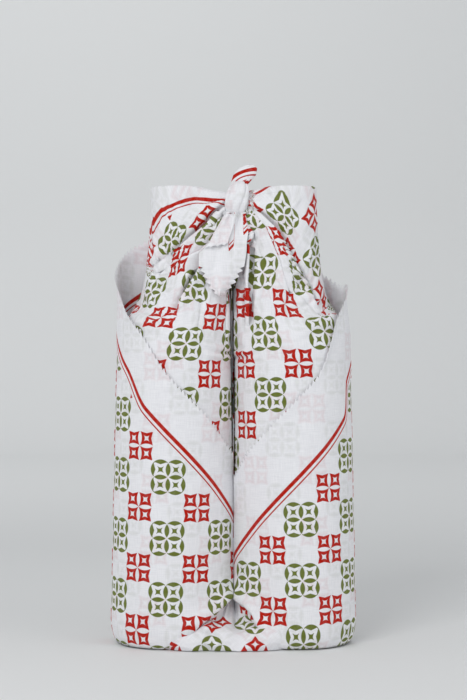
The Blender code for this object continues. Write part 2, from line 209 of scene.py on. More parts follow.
def drape(points, held, clear, ease, steps=60, rounds=6):
    """Lets a pleated tube of cloth settle: its threads keep their length, and clear() keeps it off the
    bottle. Ties run along the threads, aslant, and over two threads to stiffen the bends."""
    drag, weight = 0.9, 1.0e-5
    rows, columns = points.shape[:2]
    number = np.arange(rows * columns).reshape(rows, columns)
    place = points.reshape(-1, 3).copy()
    ties = []
    for down, along, stiffness, slack in (
            (0, 1, 1, ease), (1, 0, 1, 0.985), (1, 1, 0.3, 1), (1, -1, 0.3, 1),
            (0, 2, 0.15, 1), (2, 0, 0.15, 1)):
        first = number[:rows - down]
        second = np.roll(number, -along, axis=1)[down:]
        rest = slack * np.linalg.norm(place[second] - place[first], axis=-1)
        if (down, along) == (0, 1):
            rest = np.minimum(rest, THREAD)
        row, column = np.indices(first.shape)
        group = (row // down if down else column // along) % 2
        for turn in (0, 1):
            chosen = group == turn
            ties.append((first[chosen], second[chosen], rest[chosen], stiffness))
    free = 1.0 - held.ravel()
    before = place.copy()
    for _ in range(steps):
        speed = (place - before) * drag
        speed[:, 2] -= weight
        before = place.copy()
        place += speed * free[:, None]
        for _ in range(rounds):
            for first, second, rest, stiffness in ties:
                gap = place[second] - place[first]
                length = np.sqrt((gap * gap).sum(1)) + 1e-9
                share = np.maximum(free[first] + free[second], 1e-9)
                move = (stiffness * (length - rest) / (length * share))[:, None] * gap
                place[first] += free[first][:, None] * move
                place[second] -= free[second][:, None] * move
            place += (clear(place) - place) * free[:, None]
    return place.reshape(points.shape)


def off_the_glass(side):
    """Keeps cloth outside the bottle, inside the last turn and on its own side of the middle."""
    def clear(place):
        x, y, z = off_bottle(side, place)
        r = np.hypot(x, y)
        room = 0.0013 + 0.0015 * smooth_step(0.2, 0.24, z)
        depth = np.interp(z, BOTTLE_Z, BOTTLE_R) + room - r
        above = BOTTLE_TOP + room - z
        inside = (depth > 0) & (above > 0)
        upward = inside & (above < depth)
        grow = np.where(inside & ~upward, 1 + depth / np.maximum(r, 1e-6), 1)
        widest = np.where((z < 0.206) & (side * x > -0.02), ROLL_R + 0.0002, 1)
        grow = np.minimum(grow, widest / np.maximum(r, 1e-6))
        moved = lean_to_world(side, x * grow, y * grow, np.where(upward, BOTTLE_TOP + room, z))
        moved[:, 0] = side * np.maximum(side * moved[:, 0], 0.0005)
        return moved
    return clear


def curve_through(stations, t):
    """Smooth curve through arrays, at t from 0 to the last station."""
    i = min(int(t), len(stations) - 2)
    f = t - i
    a, b, c, d = (stations[max(0, min(len(stations) - 1, i + k))] for k in (-1, 0, 1, 2))
    square, cube = 2 * a - 5 * b + 4 * c - d, 3 * b - a - 3 * c + d
    return 0.5 * (2 * b + (c - a) * f + square * f**2 + cube * f**3)


def hood_stations(side):
    """Rings of points that the gathered hood goes through."""
    rings = [on_bottle(side, ROUND, sleeve_radius(ROUND, SLEEVE_TOP, ROLL_R), SLEEVE_TOP + 0 * ROUND)]
    across, deep = (np.sign(f(ROUND)) * np.abs(f(ROUND)) ** 0.8 for f in (np.cos, np.sin))
    for ox, oz, ix, iz, depth, shift in HOOD_RINGS:
        ring = together(side * ((ox + ix) / 2 + (ix - ox) / 2 * across),
                        shift - depth * deep * (1 - 0.2 * (0.5 + 0.5 * np.cos(ROUND))),
                        (oz + iz) / 2 + (iz - oz) / 2 * across)
        rings.append(ring / 1000)
    return rings


def tube_normals(points, side):
    """Outward unit normals of a closed tube of points."""
    along = np.roll(points, -1, axis=1) - np.roll(points, 1, axis=1)
    normal = side * np.cross(along, np.gradient(points, axis=0))
    return normal / np.maximum(np.linalg.norm(normal, axis=-1, keepdims=True), 1e-12)


def gathered_hood(name, side):
    """Upper part of a roll: drawn taut to the knot, tucked where it has cloth to spare, and settled."""
    stations = hood_stations(side)
    guide = np.array([curve_through(stations, t) for t in np.linspace(0, len(stations) - 1, HOOD_ROWS)])
    clear = off_the_glass(side)
    near = np.minimum(ROUND, 2 * pi - ROUND)
    # The outer half stays where it goes over the bottle's mouth. Nothing holds the inner half, which is
    # drawn straight.
    over = smooth_step(radians(85), radians(130), near)
    taut = pull_taut(guide.copy(), clear) * (1 - over[:, None]) + guide * over[:, None]
    flat_b = SLEEVE_TOP + running_sum(np.linalg.norm(np.diff(taut, axis=0), axis=-1))

    # Flat panels, with the spare cloth between them drawn inwards as narrow tucks. One lip of each lies
    # over the other.
    tucks, first = TUCKS[name]
    window = COLUMNS // tucks
    gap = np.linalg.norm(np.roll(taut, -1, axis=1) - taut, axis=-1)
    gap = sum(np.roll(gap, k - window // 2, axis=1) for k in range(window)) / window
    girth = gap.mean(1, keepdims=True) * COLUMNS / (2 * pi)
    rise = smooth_step(0.04, 0.30, np.linspace(0, 1, HOOD_ROWS))[:, None]
    loose = (1 - 0.85 * over) * smooth_step(radians(12), radians(34), near)
    count = tucks * (ROUND - first) / (2 * pi) + 0.08 * np.sin(2 * ROUND)
    off = count - np.round(count)
    half = 0.5 * loose * np.clip(1 - gap / THREAD + 0.05 * rise, 0, 0.7)
    mouth = np.minimum(0.3 * half, 0.04)
    past = np.maximum(np.abs(off) - half, 0) * (0.5 - mouth) / (0.5 - half)
    along = np.sign(off) * (np.minimum(np.abs(off) / np.maximum(half, 1e-6), 1) * mouth + past)
    depth = np.minimum(np.maximum(half - np.abs(off), 0) * window * THREAD, 0.7 * girth)
    between = 0.5 - 0.5 * along / np.maximum(mouth, 1e-6)
    lip = np.where(along < -mouth, 1 + along, np.where(along > mouth, along, between))
    sag = 0.055 * girth * (1 - (1 - 2 * np.abs(along)) ** 2)
    height = loose * rise * (np.minimum(0.0018, 0.15 * girth) * lip - sag)
    moved = ROUND + (along - off) * 2 * pi / tucks

    def drawn(values):
        """Values of the taut hood where the tucks have drawn its cloth to."""
        return np.stack([np.interp(at, ROUND, row, period=2 * pi) for at, row in zip(moved, values)])

    taut, normal = (np.stack([drawn(values[..., axis]) for axis in range(3)], axis=-1)
                    for values in (taut, tube_normals(taut, side)))
    flat_b = drawn(flat_b)
    points = taut + normal * (height - depth)[..., None]
    held = np.zeros((HOOD_ROWS, COLUMNS))
    held[:2] = 1
    held[-1] = 1
    points = drape(points, held, clear, 1.04 - 0.04 * over)
    # Above the shoulders the two hoods lie against each other.
    press = smooth_step(radians(24), radians(8), near) * smooth_step(0.186, 0.196, points[..., 2])
    press = press * smooth_step(0.280, 0.262, points[..., 2])
    points[..., 0] += press * (side * 0.0006 + 0.0018 * np.sin(points[..., 1] / 0.006) - points[..., 0])
    return points, taut, flat_b


def cloth_piece(name, grids, cloth, flip=False):
    """A sheet from grids of points, each with its flat place (UV map print) and its distance from the
    pinked edge (UV map edge)."""
    bm = bmesh.new()
    print_map = bm.loops.layers.uv.new("print")
    edge_map = bm.loops.layers.uv.new("edge")
    for points, flat, edge in grids:
        rows, columns = points.shape[:2]
        made = bmesh.ops.create_grid(bm, x_segments=columns - 1, y_segments=rows - 1, size=1)["verts"]
        index = {vert: k for k, vert in enumerate(made)}
        for vert, place in zip(made, points.reshape(-1, 3)):
            vert.co = place
        flat, edge = flat.reshape(-1, 2), edge.ravel()
        for face in {face for vert in made for face in vert.link_faces}:
            for loop in face.loops:
                loop[print_map].uv = flat[index[loop.vert]]
                loop[edge_map].uv = (edge[index[loop.vert]], 0)
    bmesh.ops.remove_doubles(bm, verts=bm.verts, dist=1e-6)
    if flip:
        bmesh.ops.reverse_faces(bm, faces=bm.faces)
    mesh = bpy.data.meshes.new(name)
    bm.to_mesh(mesh)
    bm.free()
    mesh.shade_smooth()
    mesh.materials.append(cloth)
    piece = bpy.data.objects.new(name, mesh)
    bpy.context.scene.collection.objects.link(piece)
    wall = piece.modifiers.new("cloth_thickness", "SOLIDIFY")
    wall.thickness = CLOTH_T
    wall.offset = -1
    return piece


def panel_prints(name, side, taut, b):
    """Flat place and distance from the pinked edge on the plain roll and on each panel of its hood. What
    lies between the panels is hidden in pleats."""
    # Cloth pulled slantwise to the knot stretches a little. Then the place of one olive figure, round and
    # up, and how far the pinked edge is from the start of the roll.
    stretch = {"left": 1.0, "right": 0.93}[name]
    green = {"left": (0.0520, 0.1958), "right": (0.0417, 0.2020)}[name]
    reach = {"left": 0.4290, "right": 0.4680}[name]
    up = np.minimum(b, SLEEVE_TOP) + stretch * np.maximum(b - SLEEVE_TOP, 0) - green[1] + PITCH

    def flat(around):
        return together(around - green[0] + PITCH, up, (reach - around - b) / 2**0.5)

    gaps = np.linalg.norm(np.diff(taut, axis=1), axis=-1)
    length = running_sum(gaps, axis=1)
    amount = smooth_step(0.222, 0.250, taut[..., 2])
    plain = ROLL_R * ROUND + 0 * b
    prints = []
    for kept in PANELS[name]:
        k = column_at(kept)
        prints.append(flat(plain + amount * (ROLL_R * ROUND[k] + length - length[:, k:k + 1] - plain)))
    out, z = 1000 * side * taut[..., 0], 1000 * taut[..., 2]
    x, y, turn, *begin = ASKEW[name]
    at = np.minimum(np.abs(out[:, :COLUMNS // 2] - x).argmin(1), column_at(FRONT_END))[:, None]
    # The panel is pulled flat in front, and goes round the bottle at its true length further out.
    facing = np.diff(np.where(ROUND > pi, 2 * out.max(1, keepdims=True) - out, out), axis=1)
    true_length = 0.2 + 0.8 * smooth_step(radians(110), radians(150), ROUND[1:])
    around = running_sum(facing + true_length * (1000 * gaps - facing), axis=1)
    around = around + np.take_along_axis(out - around, at, 1)
    stripe, slope = line_at(out, *STRIPE[name])
    askew = 0.001 * together((around - x) * cos(turn) + (z - y) * sin(turn) + 1000 * PITCH,
                             (z - y) * cos(turn) - (around - x) * sin(turn) + 1000 * PITCH,
                             1000 * STRIPE_IN + (stripe - z) / np.hypot(1, np.clip(slope, -1.5, 1.5)))
    amount = smooth_step(*begin, taut[..., 2])
    return flat(plain), prints + [flat(plain) + amount[..., None] * (askew - flat(plain))]


def lay_pleats(name, side, hood, flats):
    """Pleats over the front of a hood: each comes out of the hood and ends in a raised, rolled edge."""
    number = np.arange(hood.shape[0] * COLUMNS).reshape(-1, COLUMNS)
    beside = np.roll(number, -1, axis=1)
    corners = np.concatenate([together(number[:-1], beside[:-1], beside[1:]).reshape(-1, 3),
                              together(number[:-1], beside[1:], number[1:]).reshape(-1, 3)])
    places = [Vector(place) for place in hood.reshape(-1, 3)]
    surface = BVHTree.FromPolygons(places, corners.tolist())
    laid = []
    for (heights, outs, lip, wide), flat in zip(PLEATS[name], flats):
        flat = [Vector(place) for place in flat.reshape(-1, 3)]
        line = together(outs, heights)
        length = running_sum(np.linalg.norm(np.diff(line, axis=0), axis=1))
        at = np.linspace(0, length[-1], int(length[-1]))
        line = np.stack([np.interp(at, length, line[:, k]) for k in (0, 1)], axis=-1)
        ahead = np.gradient(line, axis=0)
        ahead /= np.linalg.norm(ahead, axis=1, keepdims=True)
        inward = together(-ahead[:, 1], ahead[:, 0])
        share = np.linspace(1, 0, 12)
        roll = np.linspace(0.2, 1, 5) * pi
        across = np.concatenate([wide * share, -0.6 * np.sin(roll)])
        narrow = 0.25 + 0.75 * smooth_step(0, 0.5, at / length[-1])
        flush = np.concatenate([0.3 - share**4, 0.3 + 0 * roll])
        raised = np.concatenate([(lip - 0.3) * (1 - share) ** 1.6, lip - 0.3 - 0.6 * (1 - np.cos(roll))])
        part = at[:, None] / length[-1]
        raised = raised * smooth_step(0, 0.5, part) * (1 - 0.5 * smooth_step(0.75, 1, part))
        lift = smooth_step(0, 0.08, part) * (flush + 0.7 + raised) - 0.7
        points = np.zeros((len(at), len(across), 3))
        printed = np.zeros((len(at), len(across), 3))
        for k in range(len(at)):
            for j in range(len(across)):
                x, z = line[k] + narrow[k] * across[j] * inward[k]
                before = Vector((side * x / 1000, -0.2, z / 1000))
                hit, normal, face, _ = surface.ray_cast(before, Vector((0, 1, 0)))
                if hit is None:
                    points[k, j], printed[k, j] = points[k, j - 1], printed[k, j - 1]
                    continue
                normal = normal if normal.y < 0 else -normal
                points[k, j] = hit + normal * 0.001 * lift[k, j]
                triangle = [places[v] for v in corners[face]]
                printed[k, j] = barycentric_transform(hit, *triangle, *(flat[v] for v in corners[face]))
        # The rolled edge is too narrow to show any print of its own.
        printed[:, len(share):] = printed[:, len(share) - 1:len(share)]
        laid.append((points, printed))
    return laid


def build_roll(name, side, cloth):
    """The inner turns of one bottle: a sleeve from under the foot to the shoulder, and the hood above."""
    foot = ROLL_HEEL[1] - heel_length(ROLL_R, *ROLL_HEEL)
    b = np.linspace(foot, SLEEVE_TOP, SLEEVE_ROWS, endpoint=False)[:, None] + 0 * ROUND
    layer, z = heel(ROLL_R, *ROLL_HEEL, b)
    sleeve = on_bottle(side, ROUND, sleeve_radius(ROUND, z, layer), z)
    hood, taut, hood_b = gathered_hood(name, side)
    settled = np.concatenate([sleeve, hood])
    b = np.concatenate([b, hood_b])
    plain, prints = panel_prints(name, side, np.concatenate([sleeve, taut]), b)
    shown = prints[0]
    pleats = lay_pleats(name, side, settled, prints[:-1])
    # The hood is drawn in under the edge of each pleat, and the next panel's print begins there.
    dent = np.zeros(b.shape)
    out, z = 1000 * side * settled[..., 0], 1000 * settled[..., 2]
    for (heights, outs, *_), outer in zip(PLEATS[name], prints[1:]):
        fold, slope = line_at(z, heights, outs)
        across = (out - fold) / np.hypot(1, slope)
        shown = np.where((across > -1.5)[..., None], outer, shown)
        along = smooth_step(heights[0], heights[0] + 6, z)
        along = along * smooth_step(heights[-1] + 2, heights[-1] - 6, z)
        dent = dent + 0.0060 * (settled[..., 1] < 0) * along * np.exp(-(((across - 1.2) / 1.5) ** 2))
    settled = settled - dent[..., None] * tube_normals(settled, side)
    hood = settled[SLEEVE_ROWS:]
    settled[SLEEVE_ROWS:] = off_the_glass(side)(hood.reshape(-1, 3)).reshape(hood.shape)
    # Behind the outermost panel the cloth overlaps, and the print starts anew.
    cut = column_at(PRINT_ANEW)
    last = plain[:, :1] + np.array([2 * pi * ROLL_R, 0, -2 * pi * ROLL_R / 2**0.5])
    front = settled[:, :cut + 1], shown[:, :cut + 1]
    back = (np.concatenate([settled[:, cut:], settled[:, :1]], axis=1),
            np.concatenate([plain[:, cut:], last], axis=1))
    grids = [(points, place[..., :2], place[..., 2]) for points, place in [front, back] + pleats]
    piece = cloth_piece(f"{name}_roll", grids, cloth, flip=side > 0)
    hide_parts(f"inner_wrap_{name}", f"neck_gather_{name}")
    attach(piece, "wrap")
    return settled, b, [points for points, _ in pleats]


def at_height(source, b, angle, height):
    """Values of a tube's array at an angle and a flat height."""
    column = angle / (2 * pi) * COLUMNS
    low, share = int(column) % COLUMNS, column - int(column)
    one, two = (np.stack([np.interp(height, b[:, k], source[:, k, axis]) for axis in range(3)], axis=-1)
                for k in (low, (low + 1) % COLUMNS))
    return one * (1 - share) + two * share


def fold_height(name, angle):
    """Flat height of the lower fold of a turn."""
    near = np.degrees(np.minimum(angle, 2 * pi - angle))
    foot = TURN_HEEL[1] - heel_length(TURN_R, *TURN_HEEL)
    fold = np.interp(near, FOLD_ANGLE[name], FOLD_HEIGHT[name])
    return np.maximum(fold, foot + (0.004 - foot) * (near < 60))


def edge_height(name, angle, b):
    """Flat height of the pinked edge at an angle. A slanting crease draws it up towards the collar."""
    rise, start, spread, fall = EDGE_DRAWN_UP[name]
    start = start + np.clip(CREASE_TOP - b, 0, 0.1) / 0.045 * radians(33)
    drawn = smooth_step(start, start + spread, angle)
    drawn = drawn - fall * smooth_step(radians(165), radians(205), angle)
    return EDGE_START[name] + TURN_R * angle + rise * drawn


def build_turn(name, side, cloth, settled, roll_b):
    """The last turn of one bottle: its pinked edge climbs at 45 degrees and stands up as a collar."""
    columns, rows = 205, 80
    angle = np.linspace(0, 2 * pi, columns)
    a = TURN_R * angle
    top = np.interp(angle, ROUND, roll_b[-1], period=2 * pi) - 0.004
    edge_b = np.minimum(edge_height(name, angle, CREASE_TOP), top)
    teeth = 0.0014 * (np.arange(columns) % 2 * 2 - 1)
    low_b = fold_height(name, angle)
    b = low_b + np.linspace(0, 1, rows)[:, None] * (edge_b - low_b)
    b[-1] += teeth
    to_edge = edge_b - b
    from_fold = b - low_b
    # The cloth reaches the table all round, though the bottle leans.
    layer, z = heel(TURN_R, FOOT_R * sin(LEAN) * np.cos(angle) - 0.0004, TURN_HEEL[1], b)
    near = np.minimum(angle, 2 * pi - angle)
    ridge = smooth_step(radians(100), radians(50), near) * smooth_step(0, radians(12), near)
    # The lower fold swells, turns in at its edge and ripples. The pinked edge stands off in waves.
    layer = layer + 0.0044 * ridge * np.exp(-((from_fold - 0.004) / 0.0055) ** 2)
    layer = layer - 0.0026 * ridge * np.exp(-from_fold / 0.001)
    layer = layer + 0.0006 * ridge * np.sin(from_fold / 0.0022 + 2 * angle) * np.exp(-from_fold / 0.015)
    layer = layer + 0.0013 * np.exp(-to_edge / 0.006) * (1 + 0.6 * np.sin(9 * angle + side))
    # The right collar leans in.
    layer = layer - {"left": 0.0, "right": 0.10}[name] * np.clip(b - 0.203, 0, 1)
    layer = layer + 0.0002 * np.sin(5 * angle + 40 * z + side) * np.sin(60 * z + 2 * angle)
    points = on_bottle(side, angle + 0 * z, sleeve_radius(angle, z, layer), z)
    # Behind the bottle this layer lies on the gathered hood and follows its tucks.
    lying = sum(np.roll(settled, k, axis=1) for k in (-1, 0, 1)) / 3
    lying = lying + 0.0018 * tube_normals(lying, side)
    cling = smooth_step(radians(190), radians(245), angle)
    for k in np.flatnonzero(cling):
        amount = (cling[k] * smooth_step(0.172, 0.184, b[:, k]))[:, None]
        points[:, k] += (at_height(lying, roll_b, angle[k], b[:, k]) - points[:, k]) * amount
    points[:, :, 0] = side * np.maximum(side * points[:, :, 0], 0.0004)

    # Place of one olive figure, round and up. The right edge has the wider margin.
    green = {"left": (0.0612, 0.1102), "right": (0.0620, 0.0832)}[name]
    flat = together(a - green[0] + PITCH, b - green[1] + PITCH)
    margin = {"left": 0.0, "right": 0.010}[name]
    edge = (edge_height(name, angle, b) - b) / 2**0.5 - margin
    piece = cloth_piece(f"{name}_turn", [(points, flat, edge)], cloth, flip=side > 0)
    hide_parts(f"outer_wrap_{name}", f"collar_{name}")
    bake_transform(piece)


def roll_front(x, z):
    """Depth of the rolls' front face at a place across both bottles."""
    low, high = ROLL_HEEL
    drop = np.clip((high - z) / (high - low), 0, 1)
    radius = FOOT_R + (ROLL_R - FOOT_R) * np.sqrt(1 - drop**2)
    axis = BASE_AXIS_X - tan(LEAN) * z
    return np.sqrt(np.maximum(radius**2 - (np.abs(x) - axis) ** 2, 0))


def build_gusset(name, front, cloth):
    """Cloth drawn into the crevice at the foot, crumpled over a ridge near the table."""
    rows, columns = 66, 121
    height = np.linspace(0.0004, 0.0375, rows)[:, None]
    half = 0.050 * (1 - height / 0.0390) + 0.002
    x = np.linspace(-1, 1, columns) * half
    z = height + 0 * x
    level = z + 0.0016 * np.sin(x / 0.006 + 0.8) + 0.0008 * np.sin(x / 0.0023) - 0.05 * np.abs(x)
    bridge = np.interp(level, (-0.004, 0.0, 0.0025, 0.006, 0.0105, 0.0128, 0.0150, 0.0185, 0.026, 0.037),
                       (0.0360, 0.0385, 0.0400, 0.0395, 0.0370, 0.0345, 0.0240, 0.0180, 0.0110, 0.0040))
    lean = np.arctan2(x, 0.043 - z)
    for at, spread, size in (
            (-0.55, 0.09, 0.0030), (-0.22, 0.08, 0.0036), (0.06, 0.06, -0.0060), (0.34, 0.09, 0.0036)):
        bridge = bridge + size * smooth_step(0.010, 0.016, z) * np.exp(-((lean - at) / spread) ** 2)
    crease = np.abs(np.sin((x - 0.8 * z) / 0.0062)) + np.abs(np.sin((x + 1.7 * z) / 0.0081))
    creased = smooth_step(0.003, 0.008, z) * smooth_step(0.030, 0.020, np.abs(x))
    bridge = bridge + 0.0014 * (crease - 1.2) * creased
    face = roll_front(x, z) + 0.0007 * smooth_step(0.001, 0.006, z) - 0.0003
    # Its ends are tucked in under the last turns.
    tucked = smooth_step(-0.046, -0.030, x) * smooth_step(0.036, 0.024, x)
    bridge = face + (bridge - face) * tucked
    depth = np.maximum(face, bridge) + 0.0012 * tucked * np.exp(-np.abs(face - bridge) / 0.002)
    points = together(x, front * depth, z)
    turn = radians(45)
    down = z - 0.6 * (depth - 0.02)
    flat = together(x * cos(turn) - down * sin(turn) + PITCH, x * sin(turn) + down * cos(turn))
    piece = cloth_piece(f"{name}_foot_fold", [(points, flat, 0 * z + 0.1)], cloth, flip=front > 0)
    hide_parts(f"{name}_gusset")
    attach(piece, "wrap")


def build_base(cloth):
    """Cloth under both bottles."""
    rows, columns = 24, 90
    reach = FOOT_R - 0.0010
    x = np.sin(np.linspace(-pi / 2, pi / 2, columns)) * (BASE_AXIS_X + reach) + np.zeros((rows, 1))
    half = np.sqrt(np.maximum(reach**2 - np.maximum(np.abs(x) - BASE_AXIS_X, 0) ** 2, 0))
    y = np.linspace(-1, 1, rows)[:, None] * half
    z = 0.0002 + 0.0003 * (0.5 + 0.5 * np.sin(150 * x + 60 * y) * np.sin(90 * y))
    points = together(x, y, z)
    flat = together(x - y, x + y) * 0.7071
    piece = cloth_piece("base_sling", [(points, flat, 0 * x + 0.1)], cloth, flip=True)
    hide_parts("base_cloth")
    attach(piece, "wrap")


def build_tuck(cloth):
    """The far corner of the square, tucked in flat between the two sleeves."""
    rows, columns = 50, 12
    y = np.linspace(-0.008, 0.008, columns) + np.zeros((rows, 1))
    z = np.linspace(0.002, 0.149, rows)[:, None] + 0 * y
    points = together(0.0002 + 0.00005 * np.sin(90 * z + 200 * y), y, z)
    flat = together(y, z)
    piece = cloth_piece("tucked_tip", [(points, flat, 0 * y + 0.1)], cloth)
    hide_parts("tucked_corner")
    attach(piece, "wrap")


def build_knot(cloth):
    """The ends crossing in the knot, bunched, and the turn of cloth that grips them."""
    around = np.linspace(0, 2 * pi, 121)
    along = np.linspace(-0.0070, 0.0070, 15)[:, None]
    pleat = 1 + 0.13 * np.cos(11 * around + 0.6 * np.sin(2 * around))
    r = 0.0040 * pleat * (0.9 + 0.1 * (along / 0.007) ** 2)
    points = together(along, KNOT[1] + r * np.cos(around), KNOT[2] + r * np.sin(around))
    flat = together(0.02 * around, along)
    bundle = cloth_piece("knot_bundle", [(points, flat, 0 * r)], cloth)
    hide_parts("knot_core")

    loop = np.linspace(0, 2 * pi, 145)[:, None]
    section = np.linspace(0, 2 * pi, 97)
    wide = 0.0066 * (1 + 0.10 * np.cos(2 * loop))
    thick = 0.0034 + 0.0006 * np.sin(loop + 0.5)
    crease = 1 - 0.20 * np.abs(np.cos(3.5 * section + 0.7 * np.sin(loop) + 0.4 * np.sin(3 * loop))) ** 4
    x = wide * np.cos(section) * crease
    lift = 0.0090 + thick * np.sin(section) * crease
    z = 1.02 * lift * np.sin(loop)
    points = together(x + 0.0022 + 0.14 * z, KNOT[1] - lift * np.cos(loop), KNOT[2] + z)
    flat = together(x, 0.009 * loop)
    band = cloth_piece("knot_turn", [(points, flat, 0 * x)], cloth)
    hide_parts("knot_band")
    for piece in (bundle, band):
        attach(piece, "wrap")


# The hanging tail: height of its top and, at distances below it, its half width and its middle.
TAIL_TOP = 0.2815
TAIL_D = (0.0, 0.005, 0.0138, 0.0205, 0.024, 0.0271, 0.0371, 0.0470, 0.0520, 0.0549)
TAIL_HALF = (0.0062, 0.0080, 0.0110, 0.0120, 0.0135, 0.0153, 0.0145, 0.0094, 0.0050, 0.0014)
TAIL_CENTRE = (0.0018, 0.0003, -0.0014, -0.0035, -0.0050, -0.0069, -0.0078, -0.0082, -0.0087, -0.0091)


def front_of(hoods, x, z):
    """Depth of the foremost cloth of the hoods near each place, read from squares of 2 mm."""
    size, left, low, columns, rows = 0.002, -0.14, 0.15, 140, 100
    nearest = np.zeros((columns, rows))

    def square(x, z):
        column, row = ((x - left) / size).astype(int), ((z - low) / size).astype(int)
        return column.clip(0, columns - 1), row.clip(0, rows - 1)

    for hood in hoods:
        np.minimum.at(nearest, square(hood[..., 0], hood[..., 2]), hood[..., 1])
    column, row = square(x, z)
    beside = range(-2, 3)
    return np.minimum.reduce([nearest[column + i, row + j] for i in beside for j in beside])


def tail_depth(t, d):
    """Depth of the hanging tail: pleats below the knot that open into a shallow cup."""
    gather = (1 - d / TAIL_D[-1]) ** 1.5
    pleats = 0.0022 * gather * np.cos(8 * t + 0.4) * np.cos(0.5 * pi * t)
    cup = (0.0034 * t**2 - 0.0010 * np.sin(3.2 * t + 40 * d)) * (1 - gather)
    return -0.0187 - 0.2 * d - pleats + cup


def build_hanging_tail(cloth, hoods):
    """The corner of the square that hangs in front, opening to its pinked tip, and the layer folded
    over it."""
    count = 61
    d = np.linspace(0, TAIL_D[-1], count)[:, None]
    t = np.linspace(-1, 1, count)
    tooth = 0.0013 * np.abs(np.arange(count) % 4 - 2)[:, None] * (d > 0.036)
    half = np.interp(d, TAIL_D, TAIL_HALF)
    x = np.interp(d, TAIL_D, TAIL_CENTRE) + t * (half - np.minimum(tooth, 0.4 * half))
    z = TAIL_TOP - d + 0 * x
    resting = front_of(hoods, x, z) - 0.0018
    y = np.minimum(tail_depth(t, d), resting + 0.03 * smooth_step(0.014, 0.006, d))
    for _ in range(25):
        framed = np.pad(y, 1, mode="edge")
        around = framed[:-2, 1:-1] + framed[2:, 1:-1] + framed[1:-1, :-2] + framed[1:-1, 2:]
        y = np.minimum(0.5 * y + 0.125 * around, y + 0.0004)
    points = together(x, y, z)
    flat = together(x, d)
    right = ((0.0068 - x) * 0.0178 + (0.0371 - d) * 0.0162) / 0.0241
    # The stripe shows where a pleat opens on either side of the middle.
    hidden = smooth_step(0.0, 0.0015, x) * smooth_step(0.0065, 0.0055, x) + smooth_step(-0.003, -0.004, x)
    edge = 1.63 * right * (1 - hidden) + 0.012 * hidden
    tail = cloth_piece("hanging_corner", [(points, flat, edge)], cloth, flip=True)
    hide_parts("front_tail")

    u = np.linspace(0, 1, 30)
    share = u[:, None]
    d = share * (0.0232 - 0.0028 * u) + 0.0015 * (1 - share)
    d[-1] += 0.0003 * np.abs(np.arange(len(u)) % 8 - 4)
    half, centre = np.interp(d, TAIL_D, TAIL_HALF), np.interp(d, TAIL_D, TAIL_CENTRE)
    t = -1.02 + u * (1.02 + (-0.0038 * share + 0.0030 * (1 - share) - centre) / half)
    lift = 0.0006 + 0.0010 * smooth_step(0, 0.3, u) + 0.0008 * share**3
    row = (d / TAIL_D[-1] * (count - 1)).round().astype(int)
    column = ((t.clip(-1, 1) + 1) / 2 * (count - 1)).round().astype(int)
    x = centre + t * half
    points = together(x, y[row, column] - lift, TAIL_TOP - d)
    flat = together(x, d)
    flap = cloth_piece("folded_corner", [(points, flat, 0 * d)], cloth, flip=True)
    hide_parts("front_tail_fold")
    for piece in (tail, flap):
        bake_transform(piece)


def build_standing_tail(cloth):
    """The short end above the knot, rolled to a tip."""
    rows, columns = 30, 61
    length = 0.0140
    d = np.linspace(0, length, rows)[:, None]
    around = np.linspace(0, 2 * pi * 1.25, columns)
    r = np.interp(d / length, (0, 0.25, 0.55, 0.82, 0.95, 1),
                  (0.0046, 0.0062, 0.0072, 0.0058, 0.003, 0.0004))
    curl = 1 - 0.10 * around / (2 * pi)
    x = 0.0030 + 0.55 * d + r * curl * np.cos(around)
    points = together(x, KNOT[1] - 0.45 * r * curl * np.sin(around), 0.2990 + d)
    flat = together(0.006 * around, d)
    edge = 0.0350 - 1.05 * np.hypot(d, 0.6 * (x - 0.007)) + 0.35 * (x - 0.007)
    tail = cloth_piece("standing_end", [(points, flat, edge)], cloth)
    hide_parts("upper_tail")
    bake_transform(tail)


def linear(colour):
    """Linear RGBA of an sRGB hex colour."""
    parts = [int(colour[k:k + 2], 16) / 255 for k in (1, 3, 5)]
    return [c / 12.92 if c <= 0.04045 else ((c + 0.055) / 1.055) ** 2.4 for c in parts] + [1.0]


def connect(tree, node, inputs):
    """Sets or links a node's inputs, given in order or by socket, each a value, hex colour or output."""
    for socket, value in inputs.items() if isinstance(inputs, dict) else enumerate(inputs):
        if isinstance(value, bpy.types.NodeSocket):
            tree.links.new(value, node.inputs[socket])
        else:
            node.inputs[socket].default_value = linear(value) if isinstance(value, str) else value


def add(tree, kind, inputs=(), operation=None, **settings):
    """Adds a node with its settings and inputs, and gives its output."""
    made = tree.nodes.new("ShaderNode" + kind)
    if operation:
        made.operation = operation
    for setting, value in settings.items():
        setattr(made, setting, value)
    connect(tree, made, inputs)
    return next(output for output in made.outputs if output.enabled)


